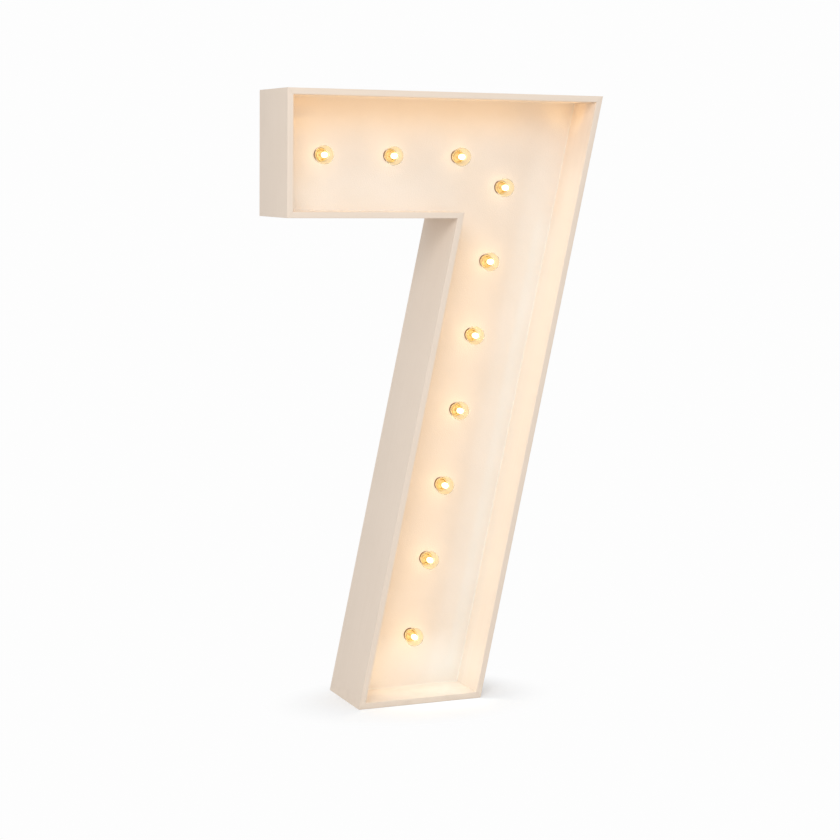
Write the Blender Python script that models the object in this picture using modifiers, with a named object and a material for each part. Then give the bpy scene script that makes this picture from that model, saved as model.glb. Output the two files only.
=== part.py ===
"""Light-up marquee number seven: a box of mitred painted boards with ten globe bulbs in a recessed panel.

Metres, +Z up. The origin is on the floor, under the middle of the box, and the open front faces -Y.
"Ahead" and "behind" are measured along a bulb's axis, from the front face of the face panel.
"""

import math

import bmesh
import bpy
from mathutils import Matrix, Vector

# The numeral's outline, seen from the front
HEIGHT = 1.219
WIDTH = 0.673
DEPTH = 0.165
ARM_HEIGHT = 0.2455
STEM_WIDTH = 0.267
STEM_LEAN = math.radians(11.65)

# Boards, panel and rear cover
BOARD_THICKNESS = 0.012
EDGE_ROUNDING = 0.0008
PANEL_THICKNESS = 0.006
COVER_THICKNESS = 0.004
COVER_INSET = 0.006
FIT_GAP = 0.0003

# Battens behind the panel
BATTEN_THICKNESS = 0.018
BATTEN_END_GAP = 0.017

# Rows of bulbs
ARM_BULB_COUNT = 3
ARM_FIRST_BULB = 0.1022
ARM_BULB_PITCH = 0.1467
ARM_ROW_DROP = 0.002
STEM_ROW_OFFSET = 0.0083
STEM_BULB_HEIGHT_SHARES = (0.848, 0.7253, 0.6027, 0.4775, 0.3525, 0.2272, 0.0979)

# Bulb: cap, globe and lit core
CAP_RADIUS = 0.0115
CAP_STANDOFF = 0.0045
CAP_LENGTH = 0.024
CAP_WALL = 0.0005
CAP_ROUNDING = 0.0007
CAP_RECESS_DEPTH = 0.021
CAP_CONTACT_RADIUS = 0.0045
CAP_CONTACT_HEIGHT = 0.0025
GLOBE_RADIUS = 0.019
GLOBE_STANDOFF = 0.022
GLOBE_FILLET = 0.004
GLASS_THICKNESS = 0.0009
NECK_DEPTH = 0.0072
CORE_RADIUS = 0.0055
CORE_HALF_LENGTH = 0.0115
CORE_STEM_RADIUS = 0.0022

# Lampholder, with its ring nut behind the panel
HOLDER_RIM_WIDTH = 0.0021
HOLDER_RIM_HEIGHT = 0.0018
HOLDER_WALL = 0.001
HOLDER_FLOOR = 0.004
HOLDER_TAIL_RADIUS = 0.0095
HOLDER_TAIL_LENGTH = 0.008
CAP_CLEARANCE = 0.0004
NUT_WIDTH = 0.0038
NUT_THICKNESS = 0.004

# Leads
LEAD_RADIUS = 0.0018
LEAD_CORNER = 0.02
LEAD_END = 0.008
LEAD_ROOM = 0.0247

# Supply: junction box at the foot of the row of bulbs, with the inlet and the switch beside it
BOX_WIDTH = 0.06
BOX_HEIGHT = 0.04
BOX_DEPTH = 0.02
BOX_ROUNDING = 0.003
BOX_ABOVE_FOOT = 0.023
SUPPLY_SPACING = 0.075
SWITCH_ABOVE_INLET = 0.05
PORT_SPACING = 0.016
INLET_FLANGE_RADIUS = 0.0075
INLET_FLANGE_HEIGHT = 0.002
INLET_BARREL_RADIUS = 0.0055
INLET_REACH = 0.02
INLET_BORE_RADIUS = 0.0029
INLET_BORE_DEPTH = 0.0095
INLET_PIN_RADIUS = 0.001
INLET_PIN_LENGTH = 0.0085
SWITCH_FLANGE_MARGIN = 0.0014
SWITCH_FLANGE_THICKNESS = 0.002
SWITCH_WALL = 0.0014
SWITCH_FLOOR = 0.002
ROCKER_WIDTH = 0.0085
ROCKER_HALF_LENGTH = 0.0085
ROCKER_CROWN = 0.0012
ROCKER_AXIS_DEPTH = 0.0005
ROCKER_TILT = math.radians(10.0)

# Sides of round shapes
BULB_SIDES = 18
CORE_SIDES = 10
HOLE_SIDES = 24
GLOBE_STEPS = 8

# Places along the bulb's axis, ahead of the panel's front face
CAP_SHOULDER = CAP_STANDOFF - CAP_LENGTH
CAP_BOTTOM = CAP_SHOULDER - CAP_CONTACT_HEIGHT
RECESS_FLOOR = CAP_STANDOFF - CAP_RECESS_DEPTH
NECK_BOTTOM = CAP_STANDOFF - NECK_DEPTH
BORE_FLOOR = CAP_BOTTOM - FIT_GAP
BORE_RADIUS = CAP_RADIUS + CAP_CLEARANCE
BARREL_RADIUS = BORE_RADIUS + HOLDER_WALL
BARREL_BOTTOM = BORE_FLOOR - HOLDER_FLOOR
TAIL_BOTTOM = BARREL_BOTTOM - HOLDER_TAIL_LENGTH
PANEL_BACK = -PANEL_THICKNESS
COVER_FRONT = TAIL_BOTTOM - LEAD_ROOM
COVER_BACK = COVER_FRONT - COVER_THICKNESS
LEAD_LEVEL = TAIL_BOTTOM - FIT_GAP - LEAD_RADIUS
BOX_LEVEL = PANEL_BACK - FIT_GAP - BOX_DEPTH / 2
PANEL_Y = DEPTH / 2 - COVER_INSET + COVER_BACK

EDGE_NAMES = ("top", "stem_outer", "foot", "stem_inner", "arm_underside", "arm_end")
BATTEN_EDGES = ("top", "stem_outer", "stem_inner", "arm_underside")


def clear_scene():
    for item in list(bpy.data.objects):
        bpy.data.objects.remove(item, do_unlink=True)


def new_collection(name):
    collection = bpy.data.collections.new(name)
    bpy.context.scene.collection.children.link(collection)
    return collection


def new_material(name, colour, roughness, metallic=0.0, alpha=1.0):
    material = bpy.data.materials.new(name)
    material.use_nodes = True
    shader = material.node_tree.nodes["Principled BSDF"]
    shader.inputs["Base Color"].default_value = (*colour, 1.0)
    shader.inputs["Roughness"].default_value = roughness
    shader.inputs["Metallic"].default_value = metallic
    shader.inputs["Alpha"].default_value = alpha
    return material


def add_object(name, data, material, collection, matrix=None):
    item = bpy.data.objects.new(name, data)
    collection.objects.link(item)
    if not data.materials:
        data.materials.append(material)
    if matrix is not None:
        item.matrix_world = matrix
    return item


def evaluated_mesh(item, name):
    """The mesh that an object's modifiers give, welded and kept under a new name; the object goes."""
    depsgraph = bpy.context.evaluated_depsgraph_get()
    mesh = bpy.data.meshes.new_from_object(item.evaluated_get(depsgraph))
    mesh.name = name
    bpy.data.objects.remove(item, do_unlink=True)
    shape = bmesh.new()
    shape.from_mesh(mesh)
    bmesh.ops.remove_doubles(shape, verts=shape.verts, dist=FIT_GAP / 30)
    shape.to_mesh(mesh)
    shape.free()
    return mesh


def shade_round(mesh):
    mesh.shade_smooth()
    mesh.set_sharp_from_angle(angle=math.radians(40.0))


# Outline geometry, in the plane of the front: pairs of X and Z

def outline_corners():
    """The numeral's six outer corners, clockwise from the arm's top left."""
    slope = math.tan(STEM_LEAN)
    left = -WIDTH / 2
    right = WIDTH / 2
    foot_right = right - HEIGHT * slope
    foot_left = foot_right - STEM_WIDTH
    underside = HEIGHT - ARM_HEIGHT
    return [
        Vector((left, HEIGHT)),
        Vector((right, HEIGHT)),
        Vector((foot_right, 0.0)),
        Vector((foot_left, 0.0)),
        Vector((foot_left + underside * slope, underside)),
        Vector((left, underside)),
    ]


def edge_frame(corners, index):
    """Start and end of one edge, its direction, and the direction into the outline."""
    start = corners[index]
    end = corners[(index + 1) % len(corners)]
    along = (end - start).normalized()
    inward = Vector((along.y, -along.x))
    return start, end, along, inward


def inset_corners(corners, distance):
    """The outline with every edge moved inwards by the distance."""
    moved = []
    for index in range(len(corners)):
        before = edge_frame(corners, index - 1)
        after = edge_frame(corners, index)
        point_before = before[0] + before[3] * distance
        point_after = after[0] + after[3] * distance
        cross = before[2].cross(after[2])
        reach = (point_after - point_before).cross(after[2]) / cross
        moved.append(point_before + before[2] * reach)
    return moved


def board_outline(index):
    """One mitred board: its two outer and two inner corners, drawn back a little at each mitre."""
    outer = outline_corners()
    inner = inset_corners(outer, BOARD_THICKNESS)
    following = (index + 1) % len(outer)
    along = edge_frame(outer, index)[2]
    start_mitre = (inner[index] - outer[index]).normalized()
    end_mitre = (inner[following] - outer[following]).normalized()
    start_shift = along * (FIT_GAP / 2) / abs(along.cross(start_mitre))
    end_shift = along * (FIT_GAP / 2) / abs(along.cross(end_mitre))
    return [
        outer[index] + start_shift,
        outer[following] - end_shift,
        inner[following] - end_shift,
        inner[index] + start_shift,
    ]


def circle_points(centre, radius, sides):
    """A polygon whose flats, not its corners, lie at the radius."""
    corner_radius = radius / math.cos(math.pi / sides)
    return [
        centre + Vector((math.cos(turn), math.sin(turn))) * corner_radius
        for turn in (2 * math.pi * step / sides for step in range(sides))
    ]


def rectangle_points(centre, width, height):
    half = Vector((width / 2, height / 2))
    return [
        centre - half,
        centre + Vector((half.x, -half.y)),
        centre + half,
        centre + Vector((-half.x, half.y)),
    ]


# Makers of pieces

def flat_curve(name, loops, thickness):
    """A 2D curve of closed loops, filled on both faces and given its thickness."""
    curve = bpy.data.curves.new(name, "CURVE")
    curve.dimensions = "2D"
    curve.fill_mode = "BOTH"
    curve.extrude = thickness / 2
    for loop in loops:
        spline = curve.splines.new("POLY")
        spline.points.add(len(loop) - 1)
        for point, place in zip(spline.points, loop):
            point.co = (place.x, place.y, 0.0, 1.0)
        spline.use_cyclic_u = True
    return curve


def upright(ahead_middle):
    """Stands a flat curve up in the plane of the front, its middle so far ahead of the panel's face."""
    place = Matrix.Translation((0.0, PANEL_Y - ahead_middle, 0.0))
    return place @ Matrix.Rotation(math.pi / 2, 4, "X")


def add_sheet(name, loops, ahead_front, thickness, material, collection):
    curve = flat_curve(name, loops, thickness)
    return add_object(name, curve, material, collection, upright(ahead_front - thickness / 2))


def turned_mesh(name, profile, sides):
    """A profile of radius and height turned about Z, from outer top to bottom."""
    mesh = bpy.data.meshes.new(name + "_profile")
    edges = [(index, index + 1) for index in range(len(profile) - 1)]
    mesh.from_pydata([(radius, 0.0, height) for radius, height in profile], edges, [])
    item = bpy.data.objects.new(name + "_turning", mesh)
    bpy.context.scene.collection.objects.link(item)
    screw = item.modifiers.new("Screw", "SCREW")
    screw.axis = "Z"
    screw.angle = 2 * math.pi
    screw.steps = sides
    screw.render_steps = sides
    screw.use_merge_vertices = True
    screw.merge_threshold = FIT_GAP / 30
    turned = evaluated_mesh(item, name)
    shade_round(turned)
    return turned


def box_shape(name, size, centre, collection):
    """A box primitive with its scale applied, in the collection given."""
    mesh = bpy.data.meshes.new(name)
    shape = bmesh.new()
    bmesh.ops.create_cube(shape, size=1.0)
    bmesh.ops.scale(shape, vec=size, verts=shape.verts)
    bmesh.ops.translate(shape, vec=centre, verts=shape.verts)
    shape.to_mesh(mesh)
    shape.free()
    item = bpy.data.objects.new(name, mesh)
    collection.objects.link(item)
    return item


def add_lead(name, route, material, collection):
    """A round lead along a route, with its ends closed."""
    curve = bpy.data.curves.new(name, "CURVE")
    curve.dimensions = "3D"
    curve.bevel_depth = LEAD_RADIUS
    curve.bevel_resolution = 2
    curve.use_fill_caps = True
    spline = curve.splines.new("POLY")
    spline.points.add(len(route) - 1)
    for point, place in zip(spline.points, route):
        point.co = (*place, 1.0)
    add_object(name, curve, material, collection)


def bezier_points(start, start_handle, end_handle, end, steps):
    points = []
    for step in range(steps + 1):
        part = step / steps
        rest = 1 - part
        points.append(
            start * rest ** 3
            + start_handle * 3 * rest ** 2 * part
            + end_handle * 3 * rest * part ** 2
            + end * part ** 3
        )
    return points


def arc_points(centre_radius, centre_height, radius, first, last, steps):
    """Points on an arc in a profile's plane, angles in degrees from the outward direction."""
    return [
        (
            centre_radius + radius * math.cos(math.radians(first + (last - first) * step / steps)),
            centre_height + radius * math.sin(math.radians(first + (last - first) * step / steps)),
        )
        for step in range(steps + 1)
    ]


# The box: boards, panel, battens and rear cover

def add_boards(material, collection):
    for index, edge in enumerate(EDGE_NAMES):
        name = edge + "_board"
        curve = flat_curve(name, [board_outline(index)], DEPTH)
        board = add_object(name, curve, material, collection)
        board.matrix_world = Matrix.Rotation(math.pi / 2, 4, "X")
        weld = board.modifiers.new("Weld", "WELD")
        weld.merge_threshold = FIT_GAP / 30
        bevel = board.modifiers.new("Bevel", "BEVEL")
        bevel.width = EDGE_ROUNDING
        bevel.segments = 2
        bevel.limit_method = "ANGLE"
        bevel.angle_limit = math.radians(30.0)


def bulb_places():
    """The ten bulbs' places, X and Z, from the arm's end along the arm and down the stem."""
    places = []
    row_height = HEIGHT - ARM_HEIGHT / 2 - ARM_ROW_DROP
    for index in range(ARM_BULB_COUNT):
        places.append(Vector((ARM_FIRST_BULB + index * ARM_BULB_PITCH - WIDTH / 2, row_height)))
    for share in STEM_BULB_HEIGHT_SHARES:
        height = share * HEIGHT
        places.append(Vector((stem_middle(height) - STEM_ROW_OFFSET, height)))
    return places


def stem_middle(height):
    """X of the stem's middle line at a height."""
    return WIDTH / 2 - STEM_WIDTH / 2 - (HEIGHT - height) * math.tan(STEM_LEAN)


def add_battens(material, collection):
    """Strips of wood along four of the boards, between the panel and the rear cover."""
    wall = inset_corners(outline_corners(), BOARD_THICKNESS + FIT_GAP)
    front = PANEL_BACK - FIT_GAP
    depth = front - FIT_GAP - COVER_FRONT
    for edge in BATTEN_EDGES:
        start, end, along, inward = edge_frame(wall, EDGE_NAMES.index(edge))
        end_space = along * (BATTEN_THICKNESS + BATTEN_END_GAP)
        side = inward * BATTEN_THICKNESS
        start = start + end_space
        end = end - end_space
        loop = [start, end, end + side, start + side]
        add_sheet(edge + "_batten", [loop], front, depth, material, collection)


def add_face_panel(material, collection):
    loops = [inset_corners(outline_corners(), BOARD_THICKNESS + FIT_GAP)]
    for place in bulb_places():
        loops.append(circle_points(place, BARREL_RADIUS + FIT_GAP, HOLE_SIDES))
    add_sheet("face_panel", loops, 0.0, PANEL_THICKNESS, material, collection)


def box_place():
    """The junction box's middle, in line with the stem's row of bulbs."""
    height = BOARD_THICKNESS + BOX_ABOVE_FOOT + BOX_HEIGHT / 2
    return Vector((stem_middle(height) - STEM_ROW_OFFSET, height))


def inlet_place():
    return box_place() + Vector((SUPPLY_SPACING, 0.0))


def switch_place():
    return inlet_place() + Vector((0.0, SWITCH_ABOVE_INLET))


def switch_body_size():
    """Width and height of the switch's pocket, and of its body round that."""
    rise = ROCKER_CROWN + ROCKER_HALF_LENGTH * math.tan(ROCKER_TILT)
    pocket_width = ROCKER_WIDTH + 2 * FIT_GAP
    pocket_height = 2 * (math.hypot(ROCKER_HALF_LENGTH, rise) + FIT_GAP)
    return pocket_width, pocket_height, pocket_width + 2 * SWITCH_WALL, pocket_height + 2 * SWITCH_WALL


def add_rear_cover(material, collection):
    body_width, body_height = switch_body_size()[2:]
    loops = [
        inset_corners(outline_corners(), BOARD_THICKNESS + FIT_GAP),
        circle_points(inlet_place(), INLET_BARREL_RADIUS + FIT_GAP, HOLE_SIDES),
        rectangle_points(switch_place(), body_width + 2 * FIT_GAP, body_height + 2 * FIT_GAP),
    ]
    add_sheet("rear_cover", loops, COVER_FRONT, COVER_THICKNESS, material, collection)


def facing_back(place, ahead):
    """A turned piece's place with its Z axis towards the back."""
    return Matrix.Translation((place.x, PANEL_Y - ahead, place.y)) @ Matrix.Rotation(-math.pi / 2, 4, "X")


def facing_front(place):
    """A turned piece's place on the panel's front face with its Z axis towards the front."""
    return Matrix.Translation((place.x, PANEL_Y, place.y)) @ Matrix.Rotation(math.pi / 2, 4, "X")


# Bulbs and lampholders

def cap_profile():
    recess = CAP_RADIUS - CAP_WALL
    top = CAP_STANDOFF
    return [
        (0.0, RECESS_FLOOR),
        (recess, RECESS_FLOOR),
        (recess, top),
        (CAP_RADIUS - CAP_ROUNDING / 2, top),
        (CAP_RADIUS, top - CAP_ROUNDING),
        (CAP_RADIUS, CAP_SHOULDER + CAP_CONTACT_HEIGHT),
        (CAP_CONTACT_RADIUS, CAP_SHOULDER),
        (CAP_CONTACT_RADIUS, CAP_BOTTOM),
        (0.0, CAP_BOTTOM),
    ]


def glass_side(radius, neck, fillet, steps):
    """A globe's side from its front pole down to its neck, with a hollow fillet between them."""
    reach = math.sqrt((radius + fillet) ** 2 - (neck + fillet) ** 2)
    meeting = math.degrees(math.asin(-reach / (radius + fillet)))
    side = arc_points(0.0, GLOBE_STANDOFF, radius, 90.0, meeting, steps)
    side[0] = (0.0, GLOBE_STANDOFF + radius)
    hollow = arc_points(neck + fillet, GLOBE_STANDOFF - reach, fillet, meeting + 180.0, 180.0, 2)
    return side + hollow[1:] + [(neck, NECK_BOTTOM)]


def globe_profile():
    neck = CAP_RADIUS - CAP_WALL - FIT_GAP
    inner_neck = neck - GLASS_THICKNESS
    inner_fillet = GLOBE_FILLET + GLASS_THICKNESS
    outer = glass_side(GLOBE_RADIUS, neck, GLOBE_FILLET, GLOBE_STEPS)
    inner = glass_side(GLOBE_RADIUS - GLASS_THICKNESS, inner_neck, inner_fillet, GLOBE_STEPS - 2)
    return outer + inner[::-1]


def core_profile():
    """The lit core on its stem, and the driver below it that fills the cap."""
    profile = []
    joint = math.degrees(math.acos(CORE_STEM_RADIUS / CORE_RADIUS))
    steps = 5
    for step in range(steps + 1):
        turn = math.radians(90.0 - (90.0 + joint) * step / steps)
        height = GLOBE_STANDOFF + CORE_HALF_LENGTH * math.sin(turn)
        profile.append((CORE_RADIUS * math.cos(turn), height))
    profile[0] = (0.0, GLOBE_STANDOFF + CORE_HALF_LENGTH)
    driver_radius = CAP_RADIUS - CAP_WALL - FIT_GAP
    driver_top = NECK_BOTTOM - FIT_GAP
    driver_bottom = RECESS_FLOOR + FIT_GAP
    profile += [
        (CORE_STEM_RADIUS, driver_top),
        (driver_radius, driver_top),
        (driver_radius, driver_bottom),
        (0.0, driver_bottom),
    ]
    return profile


def holder_profile():
    rim = BORE_RADIUS + HOLDER_RIM_WIDTH
    nut = BARREL_RADIUS + NUT_WIDTH
    nut_top = PANEL_BACK - FIT_GAP
    return [
        (0.0, BORE_FLOOR),
        (BORE_RADIUS, BORE_FLOOR),
        (BORE_RADIUS, HOLDER_RIM_HEIGHT),
        (rim, HOLDER_RIM_HEIGHT),
        (rim, FIT_GAP),
        (BARREL_RADIUS, FIT_GAP),
        (BARREL_RADIUS, nut_top),
        (nut, nut_top),
        (nut, nut_top - NUT_THICKNESS),
        (BARREL_RADIUS, nut_top - NUT_THICKNESS),
        (BARREL_RADIUS, BARREL_BOTTOM),
        (HOLDER_TAIL_RADIUS, BARREL_BOTTOM),
        (HOLDER_TAIL_RADIUS, TAIL_BOTTOM),
        (0.0, TAIL_BOTTOM),
    ]


def add_bulbs(materials, collection):
    meshes = {
        "lampholder": (turned_mesh("lampholder", holder_profile(), BULB_SIDES), materials["holder"]),
        "bulb_cap": (turned_mesh("bulb_cap", cap_profile(), BULB_SIDES), materials["brass"]),
        "bulb_globe": (turned_mesh("bulb_globe", globe_profile(), BULB_SIDES), materials["glass"]),
        "led_core": (turned_mesh("led_core", core_profile(), CORE_SIDES), materials["core"]),
    }
    for number, place in enumerate(bulb_places(), start=1):
        axis = bpy.data.objects.new(f"bulb_{number:02d}_axis", None)
        collection.objects.link(axis)
        axis.matrix_world = facing_front(place)
        for kind, (mesh, material) in meshes.items():
            piece = add_object(f"{kind}_{number:02d}", mesh, material, collection)
            piece.parent = axis


# Leads, held inside the box all the way

def in_box(place, ahead):
    """A point in the box from its place in the front's plane and how far ahead of the panel it is."""
    return Vector((place.x, PANEL_Y - ahead, place.y))


def rounded_route(corners):
    """The route through the corners given, each real turn rounded off."""
    route = [corners[0]]
    for before, corner, after in zip(corners[:-2], corners[1:-1], corners[2:]):
        arriving = (corner - before).normalized()
        leaving = (after - corner).normalized()
        if arriving.angle(leaving) < math.radians(5.0):
            route.append(corner)
        else:
            first = corner - arriving * LEAD_CORNER
            last = corner + leaving * LEAD_CORNER
            route += bezier_points(first, corner, corner, last, 4)
    route.append(corners[-1])
    return route


def add_lamp_lead(material, collection):
    """One lead from the junction box up behind every lampholder, which bite into it in turn."""
    places = bulb_places()[::-1]
    box = box_place()
    port = box + Vector((0.0, BOX_HEIGHT / 2 + FIT_GAP))
    up_row = (places[1] - places[0]).normalized()
    first = places[0] - up_row * LEAD_END
    half_rise = (first - port) / 2
    feed = bezier_points(
        in_box(port, BOX_LEVEL),
        in_box(port + Vector((0.0, half_rise.y)), BOX_LEVEL),
        in_box(first - up_row * half_rise.length, LEAD_LEVEL),
        in_box(first, LEAD_LEVEL),
        8,
    )
    beyond = places[-1] + (places[-1] - places[-2]).normalized() * LEAD_END
    row = rounded_route([in_box(place, LEAD_LEVEL) for place in [first] + places + [beyond]])
    add_lead("lamp_lead", feed + row[1:], material, collection)


# Supply: junction box, inlet, switch and their leads

def add_junction_box(material, collection):
    box = box_shape("junction_box", (BOX_WIDTH, BOX_DEPTH, BOX_HEIGHT), (0.0, 0.0, 0.0), collection)
    box.data.materials.append(material)
    box.location = in_box(box_place(), BOX_LEVEL)
    bevel = box.modifiers.new("Bevel", "BEVEL")
    bevel.width = BOX_ROUNDING
    bevel.segments = 2


def add_inlet(material, collection):
    floor = INLET_FLANGE_HEIGHT - INLET_BORE_DEPTH
    bottom = -COVER_THICKNESS - INLET_REACH
    profile = [
        (0.0, floor + INLET_PIN_LENGTH),
        (INLET_PIN_RADIUS, floor + INLET_PIN_LENGTH),
        (INLET_PIN_RADIUS, floor),
        (INLET_BORE_RADIUS, floor),
        (INLET_BORE_RADIUS, INLET_FLANGE_HEIGHT),
        (INLET_FLANGE_RADIUS, INLET_FLANGE_HEIGHT),
        (INLET_FLANGE_RADIUS, FIT_GAP),
        (INLET_BARREL_RADIUS, FIT_GAP),
        (INLET_BARREL_RADIUS, bottom),
        (0.0, bottom),
    ]
    mesh = turned_mesh("dc_inlet", profile, BULB_SIDES)
    add_object("dc_inlet", mesh, material, collection, facing_back(inlet_place(), COVER_BACK))


def rocker_axis():
    """The rocker's axis: its place, a little inside the switch's flange."""
    flange_top = COVER_BACK - FIT_GAP - SWITCH_FLANGE_THICKNESS
    return in_box(switch_place(), flange_top + ROCKER_AXIS_DEPTH)


def pocket_depth():
    return ROCKER_HALF_LENGTH + FIT_GAP + ROCKER_AXIS_DEPTH


def add_switch(materials, collection, cutters):
    pocket_width, pocket_height, body_width, body_height = switch_body_size()
    axis = rocker_axis()
    flange_top = PANEL_Y - COVER_BACK + FIT_GAP + SWITCH_FLANGE_THICKNESS
    depth = pocket_depth() + SWITCH_FLOOR
    x, z = switch_place()
    flange_width = body_width + 2 * SWITCH_FLANGE_MARGIN
    flange_height = body_height + 2 * SWITCH_FLANGE_MARGIN
    flange = box_shape(
        "switch_housing",
        (flange_width, SWITCH_FLANGE_THICKNESS, flange_height),
        (x, flange_top - SWITCH_FLANGE_THICKNESS / 2, z),
        collection,
    )
    flange.data.materials.append(materials["switch"])
    body_top = flange_top - SWITCH_FLANGE_THICKNESS / 2
    body_bottom = flange_top - depth
    body = box_shape(
        "switch_body_union",
        (body_width, body_top - body_bottom, body_height),
        (x, (body_top + body_bottom) / 2, z),
        cutters,
    )
    pocket_bottom = flange_top - pocket_depth()
    pocket_top = flange_top + SWITCH_FLANGE_THICKNESS
    pocket = box_shape(
        "switch_pocket_cut",
        (pocket_width, pocket_top - pocket_bottom, pocket_height),
        (x, (pocket_top + pocket_bottom) / 2, z),
        cutters,
    )
    for cutter, operation in ((body, "UNION"), (pocket, "DIFFERENCE")):
        cutter.hide_render = True
        cutter.display_type = "WIRE"
        boolean = flange.modifiers.new(operation.title(), "BOOLEAN")
        boolean.operation = operation
        boolean.object = cutter
    add_rocker(axis, materials["rocker"], collection)


def add_rocker(axis, material, collection):
    """The rocker: a shallow V above its axis and a half round below, tipped to on."""
    rise = ROCKER_CROWN + ROCKER_HALF_LENGTH * math.tan(ROCKER_TILT)
    half = ROCKER_HALF_LENGTH
    outline = [Vector((-half, rise)), Vector((0.0, ROCKER_CROWN)), Vector((half, rise))]
    steps = 10
    for step in range(steps + 1):
        turn = -math.pi * step / steps
        outline.append(Vector((math.cos(turn), math.sin(turn))) * half)
    curve = flat_curve("switch_rocker", [outline], ROCKER_WIDTH)
    # The outline's X runs down the cover and its Y out of it, so the extrusion runs across
    upright_frame = Matrix((
        (0.0, 0.0, 1.0, 0.0),
        (0.0, 1.0, 0.0, 0.0),
        (-1.0, 0.0, 0.0, 0.0),
        (0.0, 0.0, 0.0, 1.0),
    ))
    tipped = Matrix.Rotation(-ROCKER_TILT, 4, "X")
    matrix = Matrix.Translation(axis) @ tipped @ upright_frame
    add_object("switch_rocker", curve, material, collection, matrix)


def add_supply_leads(material, collection):
    """The leads from the inlet and the switch, each to its port in the junction box's side."""
    box = box_place()
    side = Vector((BOX_WIDTH / 2 + FIT_GAP, 0.0))
    switch_bottom = COVER_BACK - FIT_GAP - SWITCH_FLANGE_THICKNESS + pocket_depth() + SWITCH_FLOOR
    ends = {
        "inlet_lead": (inlet_place(), COVER_FRONT + INLET_REACH + FIT_GAP, -PORT_SPACING / 2),
        "switch_lead": (switch_place(), switch_bottom + FIT_GAP, PORT_SPACING / 2),
    }
    for name, (place, end, port_rise) in ends.items():
        port = box + side + Vector((0.0, port_rise))
        reach = Vector(((place.x - port.x) / 2, 0.0))
        route = bezier_points(
            in_box(place, end),
            in_box(place, BOX_LEVEL),
            in_box(port + reach, BOX_LEVEL),
            in_box(port, BOX_LEVEL),
            12,
        )
        add_lead(name, route, material, collection)


def build():
    clear_scene()
    parts = new_collection("marquee_number_seven")
    cutters = new_collection("cutters")
    materials = {
        "paint": new_material("painted_board", (0.83, 0.77, 0.70), 0.55),
        "panel": new_material("painted_panel", (0.86, 0.80, 0.72), 0.5),
        "wood": new_material("softwood", (0.62, 0.45, 0.28), 0.7),
        "cover": new_material("cover_board", (0.78, 0.74, 0.68), 0.6),
        "holder": new_material("brown_phenolic", (0.10, 0.055, 0.035), 0.4),
        "brass": new_material("brass_cap", (0.85, 0.62, 0.28), 0.3, metallic=1.0),
        "glass": new_material("clear_glass", (1.0, 0.93, 0.8), 0.03, alpha=0.3),
        "core": new_material("lit_core", (1.0, 0.93, 0.75), 0.4),
        "lead": new_material("lead_sheath", (0.8, 0.8, 0.78), 0.5),
        "box": new_material("box_plastic", (0.75, 0.75, 0.73), 0.5),
        "inlet": new_material("inlet_plastic", (0.03, 0.03, 0.03), 0.45),
        "switch": new_material("switch_plastic", (0.04, 0.04, 0.04), 0.45),
        "rocker": new_material("rocker_plastic", (0.06, 0.06, 0.06), 0.35),
    }
    add_boards(materials["paint"], parts)
    add_face_panel(materials["panel"], parts)
    add_battens(materials["wood"], parts)
    add_rear_cover(materials["cover"], parts)
    add_bulbs(materials, parts)
    add_junction_box(materials["box"], parts)
    add_inlet(materials["inlet"], parts)
    add_switch(materials, parts, cutters)
    add_lamp_lead(materials["lead"], parts)
    add_supply_leads(materials["lead"], parts)


build()
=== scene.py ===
"""Dressed model of a marquee numeral seven: a painted box, ten lit globe bulbs and the supply in its back."""
import math

import bmesh
import bpy
import numpy as np
from mathutils import Matrix, Vector


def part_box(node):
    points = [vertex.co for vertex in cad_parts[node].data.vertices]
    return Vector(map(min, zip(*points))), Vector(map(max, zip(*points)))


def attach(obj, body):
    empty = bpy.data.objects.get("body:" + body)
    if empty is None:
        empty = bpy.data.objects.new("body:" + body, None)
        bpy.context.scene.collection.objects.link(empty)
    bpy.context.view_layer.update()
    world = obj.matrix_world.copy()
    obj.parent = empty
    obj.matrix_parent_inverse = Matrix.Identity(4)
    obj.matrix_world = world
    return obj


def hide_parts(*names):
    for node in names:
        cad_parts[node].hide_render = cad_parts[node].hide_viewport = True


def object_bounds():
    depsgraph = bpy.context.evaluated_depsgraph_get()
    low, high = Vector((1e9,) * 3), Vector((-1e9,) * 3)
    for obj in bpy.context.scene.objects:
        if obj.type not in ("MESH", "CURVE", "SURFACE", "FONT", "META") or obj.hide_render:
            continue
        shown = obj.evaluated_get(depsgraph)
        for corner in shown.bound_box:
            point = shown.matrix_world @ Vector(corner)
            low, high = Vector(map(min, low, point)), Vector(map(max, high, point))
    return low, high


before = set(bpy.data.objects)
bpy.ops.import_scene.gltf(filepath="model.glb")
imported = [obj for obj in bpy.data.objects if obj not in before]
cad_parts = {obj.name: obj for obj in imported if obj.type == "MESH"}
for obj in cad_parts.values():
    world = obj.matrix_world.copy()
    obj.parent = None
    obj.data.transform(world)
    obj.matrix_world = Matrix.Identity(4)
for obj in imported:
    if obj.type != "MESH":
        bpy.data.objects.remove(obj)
cad_low, cad_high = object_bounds()
scene = bpy.context.scene


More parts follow.
